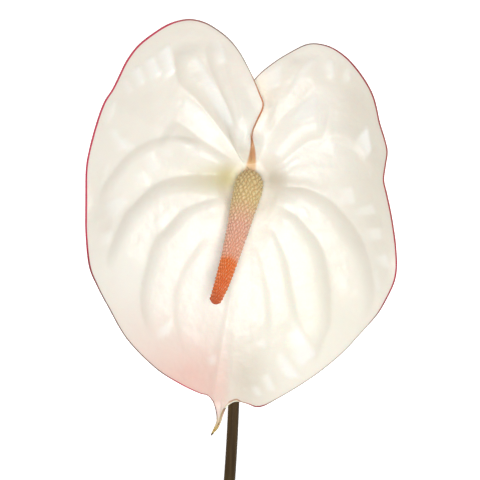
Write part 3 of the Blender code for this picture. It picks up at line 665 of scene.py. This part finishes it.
class Finish:
    """A material on one Principled shader, with a short way to add and link its nodes."""

    def __init__(self, name, roughness, **constants):
        self.material = bpy.data.materials.new(name)
        self.material.use_nodes = True
        self.tree = self.material.node_tree
        self.shader = self.tree.nodes["Principled BSDF"]
        self.shader.inputs["Roughness"].default_value = roughness
        for socket, value in constants.items():
            self.shader.inputs[socket.replace("_", " ")].default_value = value
        self.place = Wire(self.node("ShaderNodeTexCoord").outputs["Object"])
        parts = self.node("ShaderNodeSeparateXYZ", values={"Vector": self.place})
        self.x = Wire(parts.outputs["X"]) * (1.0 / MM) - MEETING[0]
        self.y = Wire(parts.outputs["Y"]) * (1.0 / MM) - MEETING[1]

    def node(self, kind, settings=None, values=None):
        """Adds a node, sets its settings, and then sets or links its sockets."""
        made = self.tree.nodes.new(kind)
        for key, value in (settings or {}).items():
            setattr(made, key, value)
        for key, value in (values or {}).items():
            self.plug(made.inputs[key], value)
        return made

    def plug(self, slot, value):
        if isinstance(value, Wire):
            self.tree.links.new(value.socket, slot)
        else:
            slot.default_value = value

    def number(self, name):
        """A number kept on the mesh."""
        return Wire(self.node("ShaderNodeAttribute", {"attribute_name": name}).outputs["Fac"])

    def noise(self, scale, detail=3.0, roughness=0.5, place=None):
        values = {"Vector": place or self.place, "Scale": scale, "Detail": detail, "Roughness": roughness}
        return Wire(self.node("ShaderNodeTexNoise", values=values).outputs["Fac"])

    def step(self, value, low, high):
        """0 at low, 1 at high, with soft ends."""
        settings = {"interpolation_type": "SMOOTHSTEP"}
        values = {"Value": value, "From Min": low, "From Max": high}
        return Wire(self.node("ShaderNodeMapRange", settings, values).outputs["Result"])

    def ramp(self, value, stops):
        """A colour that follows a value. Each stop is its place and its colour, and there are 32 at most."""
        made = self.node("ShaderNodeValToRGB", values={"Fac": value})
        elements = made.color_ramp.elements
        while len(elements) < len(stops):
            elements.new(0.5)
        for element, (place, colour) in zip(elements, stops):
            element.position = place
            element.color = (*colour, 1.0)
        return Wire(made.outputs["Color"])

    def ramp_number(self, value, stops):
        """A number from 0 to 1 that follows a value. Each stop is its place and its number."""
        return self.ramp(value, [(place, (number,) * 3) for place, number in stops])

    def mix(self, share, first, second, blend="MIX"):
        made = self.node("ShaderNodeMix", {"data_type": "RGBA", "blend_type": blend})
        share_slot, first_slot, second_slot = (made.inputs[place] for place in (0, 6, 7))
        self.plug(share_slot, share)
        for slot, value in ((first_slot, first), (second_slot, second)):
            self.plug(slot, (*value, 1.0) if isinstance(value, tuple) else value)
        return Wire(made.outputs[2])

    def spot(self, x, y, radius, stretch):
        """A soft round patch about a place on the flower, in millimetres."""
        across = (self.x - x) * (1.0 / radius)
        up = (self.y - y) * (1.0 / (radius * stretch))
        return (-(across * across + up * up)).exp()

    def patches(self, spots):
        """The sum of some soft patches, up to 1."""
        total = 0.0
        for x, y, radius, stretch, strength in spots:
            total = self.spot(x, y, radius, stretch) * strength + total
        return total.least(1.0)

    def bump(self, height, distance, normal=None):
        values = {"Height": height, "Distance": distance, "Strength": 1.0}
        if normal:
            values["Normal"] = normal
        return Wire(self.node("ShaderNodeBump", values=values).outputs["Normal"])

    def feed(self, socket, value):
        self.plug(self.shader.inputs[socket], value)


class SpatheSettings(bpy.types.PropertyGroup):
    thickness: bpy.props.FloatProperty(
        name="Thickness", description="How thick the blade is", default=0.0009, unit="LENGTH"
    )
    vein_depth: bpy.props.FloatProperty(
        name="Vein depth", description="Share of the veins' full depth", default=1.0
    )
    cell_depth: bpy.props.FloatProperty(
        name="Cell depth", description="How far the fullest cell swells up, in millimetres", default=0.6
    )
    midrib_depth: bpy.props.FloatProperty(
        name="Midrib depth", description="How deep the midrib is sunk, in millimetres", default=0.25
    )
    rim_width: bpy.props.FloatProperty(
        name="Rim width", description="Width of the coloured rim, in millimetres", default=0.88
    )
    ivory: bpy.props.FloatVectorProperty(
        name="Ivory", description="Colour of most of the blade", subtype="COLOR", default=(0.88, 0.835, 0.735)
    )
    blush: bpy.props.FloatVectorProperty(
        name="Blush", description="Colour low on the left half", subtype="COLOR", default=(0.82, 0.54, 0.46)
    )
    # Strength of the painted shade on the veins' banks.
    bank_shade: bpy.props.FloatProperty(
        name="Bank shade", description="How much darker the veins' banks are", default=0.26
    )
    # Strength of the painted shade on sunken cells.
    cell_shade: bpy.props.FloatProperty(
        name="Cell shade", description="How much darker the sunken cells are", default=0.34
    )
    crimson: bpy.props.FloatVectorProperty(
        name="Crimson", description="Colour of the rim", subtype="COLOR", default=(0.60, 0.055, 0.11)
    )
    columns: bpy.props.IntProperty(name="Columns", description="Faces round the edge", default=400)
    rows: bpy.props.IntProperty(name="Rows", description="Faces from the base to the edge", default=112)


class SpadixSettings(bpy.types.PropertyGroup):
    florets_round: bpy.props.IntProperty(
        name="Florets round", description="Florets in one turn", default=18
    )
    florets_along: bpy.props.IntProperty(
        name="Florets along", description="Florets from foot to tip", default=40
    )
    floret_height: bpy.props.FloatProperty(
        name="Floret height", description="How far a floret stands out, in millimetres", default=0.6
    )
    tan: bpy.props.FloatVectorProperty(
        name="Tan", description="Colour at the foot", subtype="COLOR", default=(0.74, 0.56, 0.27)
    )
    pink: bpy.props.FloatVectorProperty(
        name="Pink", description="Colour in the middle", subtype="COLOR", default=(0.80, 0.45, 0.33)
    )
    orange: bpy.props.FloatVectorProperty(
        name="Orange", description="Colour to the tip", subtype="COLOR", default=(0.80, 0.20, 0.038)
    )


class StemSettings(bpy.types.PropertyGroup):
    sides: bpy.props.IntProperty(name="Sides", description="Faces round the stem", default=32)
    steps: bpy.props.IntProperty(name="Steps", description="Faces along the stem", default=420)
    skin: bpy.props.FloatVectorProperty(
        name="Skin", description="Colour of the stem's skin", subtype="COLOR", default=(0.070, 0.042, 0.016)
    )


class StageSettings(bpy.types.PropertyGroup):
    floor: bpy.props.FloatVectorProperty(
        name="Floor", description="Colour of the floor", subtype="COLOR", default=(0.96, 0.96, 0.96)
    )
    floor_glow: bpy.props.FloatProperty(
        name="Floor glow", description="Light given off by the floor", default=0.5
    )
    camera_height: bpy.props.FloatProperty(
        name="Camera height", description="Height over the floor", default=0.6106, unit="LENGTH"
    )
    camera_x: bpy.props.FloatProperty(
        name="Camera across", description="Camera's place across the flower, from the meeting point",
        default=-0.00494, unit="LENGTH",
    )
    camera_y: bpy.props.FloatProperty(
        name="Camera along", description="Camera's place along the flower, from the meeting point",
        default=-0.0305, unit="LENGTH",
    )
    lens: bpy.props.FloatProperty(name="Lens", description="Focal length in millimetres", default=100.0)
    softbox: bpy.props.FloatProperty(
        name="Softbox", description="Power of the overhead light", default=11.4
    )
    fill: bpy.props.FloatProperty(
        name="Fill", description="Strength of the light from all sides", default=0.22
    )


class FLOWER_OT_spathe(bpy.types.Operator):
    """Adds the heart-shaped blade with its veins, cells, overlapping lobes and tail"""

    bl_idname = "flower.spathe"
    bl_label = "Spathe"

    def execute(self, context):
        look = context.scene.flower_spathe
        points, margin, run, bank, tone = self.blade(look)
        piece = new_grid("spathe_blade", points)
        note(piece, "margin", margin)
        note(piece, "run", run)
        note(piece, "bank", bank)
        note(piece, "tone", tone)
        close_mesh(piece)
        if sum(face.normal.z for face in piece.data.polygons) < 0.0:
            piece.data.flip_normals()
        wall = piece.modifiers.new("wall", "SOLIDIFY")
        wall.thickness = look.thickness
        wall.offset = 0.0
        bpy.ops.object.modifier_apply(modifier="wall")
        solid = read_points(piece)
        solid[:, 2] = np.maximum(solid[:, 2], 0.0)
        write_points(piece, solid)
        bpy.ops.object.shade_smooth()
        piece.data.materials.append(self.finish(look))
        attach(piece, "root")
        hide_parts("spathe")
        return {"FINISHED"}

    def blade(self, look):
        """Rows of points over both halves, with each point's margin, run, steepness and tone."""
        depths = (look.vein_depth, look.cell_depth, look.midrib_depth)
        left_columns = int(look.columns * TIP_RUN)
        shares = (np.arange(look.rows + 1) / look.rows) ** ROW_CROWDING
        left = through([NOTCH, *LEFT_EDGE], left_columns)
        right = through([LEFT_EDGE[-1], *RIGHT_EDGE, NOTCH], look.columns - left_columns)
        left_run = distance_along(left[:, :2])
        right_run = distance_along(right[::-1, :2])[::-1]
        left_half = blade_points(left, left_run, -1, LEFT_LOBE_SWEEP, shares, depths)
        right_half = blade_points(right, right_run, 1, RIGHT_LOBE_SWEEP, shares, depths)
        points, margin, bank, tone = (
            np.concatenate([a, b[:, 1:]], axis=1) for a, b in zip(left_half, right_half)
        )
        to_tip = left_run / left_run[-1] * TIP_RUN
        from_tip = 1.0 - right_run[1:] / right_run[0] * (1.0 - TIP_RUN)
        run = np.broadcast_to(np.concatenate([to_tip, from_tip]), margin.shape)
        return points, margin, run, bank, tone

    def finish(self, look):
        shine = {"Subsurface_Weight": 0.1, "Subsurface_Scale": 0.003, "Specular_IOR_Level": 0.32}
        wax = Finish("spathe_wax", 0.4, **shine)
        colour = self.ivory(wax, look)
        # Partly the blade's own green tint at its foot and partly painted shade in the hollow left of the
        # spadix.
        colour = wax.mix(wax.patches(GREEN_TINT_AND_SHADE_PATCHES), colour, FOOT_GREEN_AND_SHADE)
        # Painted shade in the hollow right of the spadix's foot.
        colour = wax.mix(wax.patches(PAINTED_SHADE_BESIDE_SPADIX), colour, PAINTED_SHADE_OLIVE)
        colour = self.banks_and_cells(wax, look, colour)
        colour = self.cleft(wax, colour)
        colour = self.rim(wax, look, colour)
        for start, full, strength, tone in TAIL_TONES:
            colour = wax.mix(wax.step(-wax.y, start, full) * strength, colour, tone)
        wax.feed("Base Color", colour)
        wax.feed("Roughness", 0.30 + wax.noise(260.0, 3.0) * 0.12)
        skin = wax.noise(900.0, 2.0) * 0.35 + wax.noise(300.0, 3.0) * 0.65
        quilt = wax.noise(120.0, 2.0)
        wax.feed("Normal", wax.bump(skin, 0.00006, wax.bump(quilt, 0.0006)))
        return wax.material

    def ivory(self, wax, look):
        """The blade's colour: its own ivory with a random paler cloud, warm patches and the blush, with
        painted light and painted shade in soft patches.
        """
        cloud = wax.noise(38.0, 4.0)
        colour = wax.mix(wax.step(cloud, 0.35, 0.7) * 0.35, tuple(look.ivory), BRIGHT_WAX)
        # Painted light: a pool of light over the middle of the blade.
        colour = wax.mix(wax.patches(PAINTED_LIGHT_MIDDLE) * 0.75, colour, BRIGHT_WAX)
        # Painted shade in soft patches over the right lobe and low on the blade.
        colour = wax.mix(wax.patches(PAINTED_SHADE_PATCHES), colour, PATCH_SHADE_WAX)
        # Painted light in soft patches on the lower left and on the right lobe.
        colour = wax.mix(wax.patches(PAINTED_LIGHT_PATCHES), colour, BRIGHT_WAX)
        colour = wax.mix(wax.patches(WARM_PATCHES), colour, WARM_WAX)
        left_of_rib = wax.step(BLUSH_EDGE_X - wax.x, -2.2, 1.6)
        blush = wax.patches(BLUSH_PATCHES) + wax.patches(BLUSH_AT_TAIL) * left_of_rib
        blush = blush * (0.55 + cloud * 0.8)
        return wax.mix(blush.least(0.85), colour, tuple(look.blush))

    def banks_and_cells(self, wax, look, colour):
        """Painted shade on the veins' banks (with a faint random blotch) and sunken cells, a painted
        highlight on swollen cells.
        """
        bank, tone = wax.number("bank"), wax.number("tone")
        blotch = wax.step(wax.noise(110.0, 3.0), 0.58, 0.8)
        # Painted shade on the veins' banks, deepest where a bank is steepest, plus a faint random blotch.
        painted_shade_and_blotch = bank.least(1.0).most(0.0) * look.bank_shade + blotch * 0.03
        colour = wax.mix(painted_shade_and_blotch, colour, SHADED_WAX)
        # Painted shade on sunken cells.
        colour = wax.mix((tone * -look.cell_shade).most(0.0), colour, SHADED_WAX)
        # Painted highlight on swollen cells.
        return wax.mix((tone * 1.1).most(0.0).least(1.0), colour, PAINTED_GLINT)

    def cleft(self, wax, colour):
        """The orange fold that widens from the notch down to the spadix's foot."""
        down = (NOTCH[1] - wax.y) * (1.0 / CLEFT_LENGTH)
        middle_x = CLEFT_X + down * (1.0 - down) * CLEFT_BOW - down * CLEFT_DRIFT
        aside = (wax.x - middle_x) / (CLEFT_HALF_WIDTH + down.most(0.0) * CLEFT_SPREAD)
        ends = wax.step(wax.y, CLEFT_FOOT, CLEFT_FOOT_FULL) * wax.step(wax.y, CLEFT_TOP, CLEFT_TOP_FULL)
        neck_colour = wax.mix(wax.step(down, 0.45, 1.0), CLEFT_ORANGE, CLEFT_TAN)
        return wax.mix(wax.step(aside * aside, 1.3, 0.3) * ends * 0.9, colour, neck_colour)

    def rim(self, wax, look, colour):
        """The coloured rim with its faint halo, and the blade's back where the edge curls over."""
        run, margin = wax.number("run"), wax.number("margin")
        rim_colour = wax.ramp(run, self.rim_stops(tuple(look.crimson)))
        wander = (0.85 + wax.noise(180.0, 2.0) * 0.3) * look.rim_width
        width = wander * wax.ramp_number(run, RIM_WIDTHS)
        curl = wax.step(run, CURL_START, CURL_FULL) * wax.step(run, CURL_END, CURL_EASE) * CURL_DEPTH
        inside = margin - curl
        halo = wax.step(2.6 - margin, 0.0, 2.2) * 0.06
        line = wax.step(width - inside, -0.2, 0.12) * wax.step(inside, -0.55, -0.25)
        colour = wax.mix(halo, colour, rim_colour)
        colour = wax.mix(line, colour, rim_colour)
        return wax.mix(wax.step(inside, -0.25, -0.55), colour, BLADE_BACK)

    def rim_stops(self, crimson):
        """The rim's colours by the run round the edge."""
        return [
            (0.0, RUST), (0.035, RUST), (0.055, FAINT), (0.095, MAUVE), (0.118, ROSE), (0.13, crimson),
            (0.31, crimson), (0.33, DEEP_RED), (0.36, MAUVE), (0.43, MAUVE), (0.443, crimson),
            (0.455, crimson), (0.465, ROSE), (0.474, MAUVE), (0.486, MAUVE), (0.492, TIP_TAN),
            (0.508, TIP_TAN), (0.516, CURL_TAN), (0.538, CURL_TAN), (0.545, ROSE), (0.550, DEEP_RED),
            (0.555, DEEP_RED), (0.561, FAINT), (0.655, FAINT), (0.675, DEEP_RED), (0.70, CHERRY),
            (0.74, WINE), (0.80, BRICK), (0.885, DEEP_RED), (0.90, MAUVE), (0.95, MAUVE), (0.96, RUST),
        ]


class FLOWER_OT_spadix(bpy.types.Operator):
    """Adds the spadix, a tapered spike covered with small raised florets"""

    bl_idname = "flower.spadix"
    bl_label = "Spadix"

    def execute(self, context):
        look = context.scene.flower_spadix
        path = self.path(look.florets_along * ROWS_PER_FLORET)
        middle, radius = path[:, :3], path[:, 3:]
        length = distance_along(middle)[:, None]
        angle = np.linspace(0.0, 2.0 * math.pi, look.florets_round * FACES_PER_FLORET + 1)[None, :]
        dome, stigma, fade = self.florets(look, length, angle)
        size = SMALLEST_FLORET + (1.0 - SMALLEST_FLORET) * smooth(radius / FULL_FLORET_RADIUS)
        lift = look.floret_height * fade * (dome - 0.5) * size + STIGMA_HEIGHT * stigma * fade
        reach = radius + np.where(radius > 0.0, lift, 0.0)
        step = np.gradient(middle, axis=0)
        step[:2] = step[2]
        piece = new_grid("spadix_spike", tube_points(middle, step, reach, angle))
        note(piece, "along", np.broadcast_to(length / length[-1], reach.shape))
        note(piece, "floret", dome * fade)
        note(piece, "stigma", stigma * fade)
        close_mesh(piece)
        bpy.ops.object.shade_smooth()
        piece.data.materials.append(self.finish(look))
        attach(piece, "root")
        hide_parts("spadix")
        return {"FINISHED"}

    def path(self, faces):
        """The middle line with its radius, from a closed foot to a round tip."""
        seat = BASE_HEIGHT + SPADIX_SEAT
        line = through([(x, y, seat + z, radius) for x, y, z, radius in SPADIX], faces)
        end, radius = line[-1, :3], line[-1, 3]
        ahead = end - line[-2, :3]
        ahead /= np.linalg.norm(ahead)
        turns = np.linspace(0.0, 0.5 * math.pi, TIP_ROWS + 1)[1:]
        tip = [[*(end + ahead * radius * math.sin(turn)), radius * math.cos(turn)] for turn in turns]
        return np.vstack([[*line[0, :3], 0.0], line, tip])

    def florets(self, look, length, angle):
        """How each floret's dome and point rise over the spike, and how both fade at its ends."""
        across = angle / (2.0 * math.pi) * look.florets_round
        rank = length / length[-1] * look.florets_along
        wave = sum(size * np.sin(turn * across + climb * rank) for size, turn, climb in FLORET_WAVES)
        wave = wave * smooth(length / WAVE_FADE)
        spirals = (across + rank * 0.5 + wave, across - rank * 0.5 + wave)
        u, v = (2.0 * (turn - np.floor(turn)) - 1.0 for turn in spirals)
        square = u * u + v * v
        bulge = 1.0 - np.maximum(np.abs(u), np.abs(v)) ** FLORET_SQUARENESS
        dome = np.maximum(bulge, 0.0) * (1.0 - FLORET_DOMING * square)
        stigma = np.exp(-square / STIGMA_SPREAD)
        fade = smooth(length / FOOT_FADE) * smooth((length[-1] - length) / TIP_FADE)
        return dome, stigma, fade

    def finish(self, look):
        skin = Finish("spadix_skin", 0.5, Subsurface_Weight=0.08, Subsurface_Scale=0.002)
        along, floret, stigma = skin.number("along"), skin.number("floret"), skin.number("stigma")
        wander = skin.noise(160.0, 3.0)
        stage = along + (wander - 0.5) * 0.06
        tan, pink, orange = tuple(look.tan), tuple(look.pink), tuple(look.orange)
        salmon, ember, burnt = (0.80, 0.40, 0.27), (0.74, 0.16, 0.035), (0.55, 0.11, 0.025)
        gap_shade_tint, stigma_cream = (0.86, 0.76, 0.68), (0.95, 0.84, 0.56)
        stops = [
            (0.0, tan), (0.24, tan), (0.44, pink), (0.655, salmon),
            (0.70, orange), (0.9, ember), (1.0, burnt),
        ]
        colour = skin.ramp(stage, stops)
        # Painted shade in the valleys between the florets.
        shaded_gaps = skin.mix(1.0, colour, gap_shade_tint, "MULTIPLY")
        colour = skin.mix(skin.step(floret, 0.05, 0.6), shaded_gaps, colour)
        ripe = skin.step(skin.noise(700.0, 1.0), 0.35, 0.6)
        colour = skin.mix(stigma * ripe * 0.7, colour, stigma_cream)
        skin.feed("Base Color", colour)
        skin.feed("Roughness", 0.62 - floret * 0.22)
        skin.feed("Normal", skin.bump(skin.noise(2400.0, 2.0), 0.00005))
        return skin.material


class FLOWER_OT_stem(bpy.types.Operator):
    """Adds the long bare stem, cut flat at its lower end"""

    bl_idname = "flower.stem"
    bl_label = "Stem"

    def execute(self, context):
        look = context.scene.flower_stem
        flat = math.cos(math.pi / STEM_FACETS)
        run = [(x, y, radius * flat, radius) for x, y, radius in STEM_RUN]
        path = through([*STEM_TOP, *run], look.steps)
        path[:, 2] = np.where(path[:, 1] < STEM_LIES_FROM, path[:, 3] * flat, path[:, 2])
        middle, radius = path[:, :3], path[:, 3:]
        length = distance_along(middle)[:, None]
        angle = np.linspace(0.0, 2.0 * math.pi, look.sides + 1)[None, :]
        ridge = sum(height * np.sin(count * angle + twist * length) for height, count, twist in STEM_RIDGES)
        thickness = radius * (1.0 + STEM_WAVE * np.sin(length / STEM_WAVE_LENGTH))
        reach = thickness + ridge * smooth(length / RIDGE_FADE)
        closed_reach = np.pad(reach, ((1, 1), (0, 0)))
        step = np.gradient(middle, axis=0)
        step[:2] = [0.0, 0.0, -1.0]
        points = tube_points(self.ends_twice(middle), self.ends_twice(step), closed_reach, angle)
        points[..., 2] = np.maximum(points[..., 2], 0.0)
        piece = new_grid("stem_stalk", points)
        note(piece, "along", np.broadcast_to(self.ends_twice(length), closed_reach.shape))
        close_mesh(piece)
        bpy.ops.object.shade_smooth_by_angle(angle=STEM_SHARP_EDGE)
        piece.data.materials.append(self.finish(look))
        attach(piece, "root")
        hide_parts("stem")
        return {"FINISHED"}

    def ends_twice(self, rows):
        """The rows with the first and the last repeated, for the stem's two closed ends."""
        return np.vstack([rows[:1], rows, rows[-1:]])

    def finish(self, look):
        skin = Finish("stem_skin", 0.6, Specular_IOR_Level=0.12)
        dark, olive, green = (0.045, 0.026, 0.010), (0.10, 0.075, 0.025), (0.070, 0.085, 0.022)
        pale_top, cut_green, fibre_cream = (0.30, 0.24, 0.09), (0.42, 0.44, 0.22), (0.62, 0.60, 0.40)
        along = skin.number("along")
        lengthwise = {"Vector": skin.place, "Scale": (1.0, 0.04, 1.0)}
        streak_place = Wire(skin.node("ShaderNodeMapping", values=lengthwise).outputs["Vector"])
        streak = skin.noise(900.0, 4.0, 0.6, streak_place)
        colour = skin.mix(skin.step(streak, 0.35, 0.7), dark, tuple(look.skin))
        colour = skin.mix(skin.step(skin.noise(60.0, 3.0), 0.45, 0.75) * 0.5, colour, olive)
        colour = skin.mix(skin.step(along, 130.0, 390.0) * 0.6, colour, green)
        colour = skin.mix(skin.step(7.0 - along, 0.0, 6.0) * 0.6, colour, pale_top)
        cut = skin.step(-skin.y, CUT_START, CUT_FULL)
        fibre = skin.step(skin.noise(1500.0, 2.0), 0.45, 0.6)
        colour = skin.mix(cut, colour, cut_green)
        colour = skin.mix(cut * fibre * 0.5, colour, fibre_cream)
        skin.feed("Base Color", colour)
        skin.feed("Roughness", 0.52 + streak * 0.25)
        skin.feed("Normal", skin.bump(streak * 0.8 + skin.noise(1800.0, 2.0) * 0.2, 0.0002))
        return skin.material


class FLOWER_OT_stage(bpy.types.Operator):
    """Adds the pale floor, the soft lights and the camera that looks straight down"""

    bl_idname = "flower.stage"
    bl_label = "Stage"

    def execute(self, context):
        look = context.scene.flower_stage
        centre_x = MEETING[0] * MM + look.camera_x
        centre_y = MEETING[1] * MM + look.camera_y
        self.add_floor(look)
        light_x, light_y, light_height = LIGHT_PLACE
        self.add_lights(context.scene, look, (centre_x + light_x, centre_y + light_y, light_height))
        place = (centre_x, centre_y, look.camera_height)
        bpy.ops.object.camera_add(location=place, rotation=(0.0, 0.0, 0.0))
        camera = bpy.context.object
        camera.name = "camera"
        camera.data.lens = look.lens
        camera.data.sensor_width = SENSOR_WIDTH
        camera.data.clip_start = NEAREST_SEEN
        context.scene.camera = camera
        context.scene.view_settings.view_transform = "Standard"
        return {"FINISHED"}

    def add_floor(self, look):
        bpy.ops.object.select_all(action="DESELECT")
        bpy.ops.mesh.primitive_plane_add(size=FLOOR_SIZE)
        floor = bpy.context.object
        floor.name = "floor"
        paint = Finish("floor_paint", 0.9)
        scuffed = (0.90, 0.90, 0.90)
        paint.feed("Base Color", paint.mix(paint.noise(3.0, 2.0) * 0.04, tuple(look.floor), scuffed))
        paint.feed("Emission Color", (1.0, 1.0, 1.0, 1.0))
        paint.feed("Emission Strength", look.floor_glow)
        floor.data.materials.append(paint.material)

    def add_lights(self, scene, look, place):
        """A soft light overhead and a weak one from all sides."""
        bpy.ops.object.light_add(type="AREA", location=place)
        softbox = bpy.context.object
        softbox.name = "softbox"
        softbox.data.size = LIGHT_SIZE
        softbox.data.energy = look.softbox
        softbox.visible_camera = False
        world = bpy.data.worlds.new("soft_room")
        world.use_nodes = True
        background = world.node_tree.nodes["Background"]
        background.inputs["Color"].default_value = (1.0, 1.0, 1.0, 1.0)
        background.inputs["Strength"].default_value = look.fill
        scene.world = world


class FLOWER_PT_panel(bpy.types.Panel):
    bl_label = "Cut anthurium flower"
    bl_idname = "FLOWER_PT_panel"
    bl_space_type = "VIEW_3D"
    bl_region_type = "UI"
    bl_category = "Flower"

    def draw(self, context):
        for operator, settings in STEPS:
            box = self.layout.box()
            box.operator(operator)
            group = getattr(context.scene, settings)
            for name in group.__annotations__:
                box.prop(group, name)


STEPS = [
    ("flower.spathe", "flower_spathe"),
    ("flower.spadix", "flower_spadix"),
    ("flower.stem", "flower_stem"),
    ("flower.stage", "flower_stage"),
]
GROUPS = {
    "flower_spathe": SpatheSettings,
    "flower_spadix": SpadixSettings,
    "flower_stem": StemSettings,
    "flower_stage": StageSettings,
}
CLASSES = [
    *GROUPS.values(),
    FLOWER_OT_spathe,
    FLOWER_OT_spadix,
    FLOWER_OT_stem,
    FLOWER_OT_stage,
    FLOWER_PT_panel,
]


def register():
    for kind in CLASSES:
        bpy.utils.register_class(kind)
    for name, group in GROUPS.items():
        setattr(bpy.types.Scene, name, bpy.props.PointerProperty(type=group))


def unregister():
    for name in GROUPS:
        delattr(bpy.types.Scene, name)
    for kind in reversed(CLASSES):
        bpy.utils.unregister_class(kind)


def main():
    register()
    bpy.ops.flower.spathe()
    bpy.ops.flower.spadix()
    bpy.ops.flower.stem()
    bpy.ops.flower.stage()


if __name__ == "__main__":
    main()
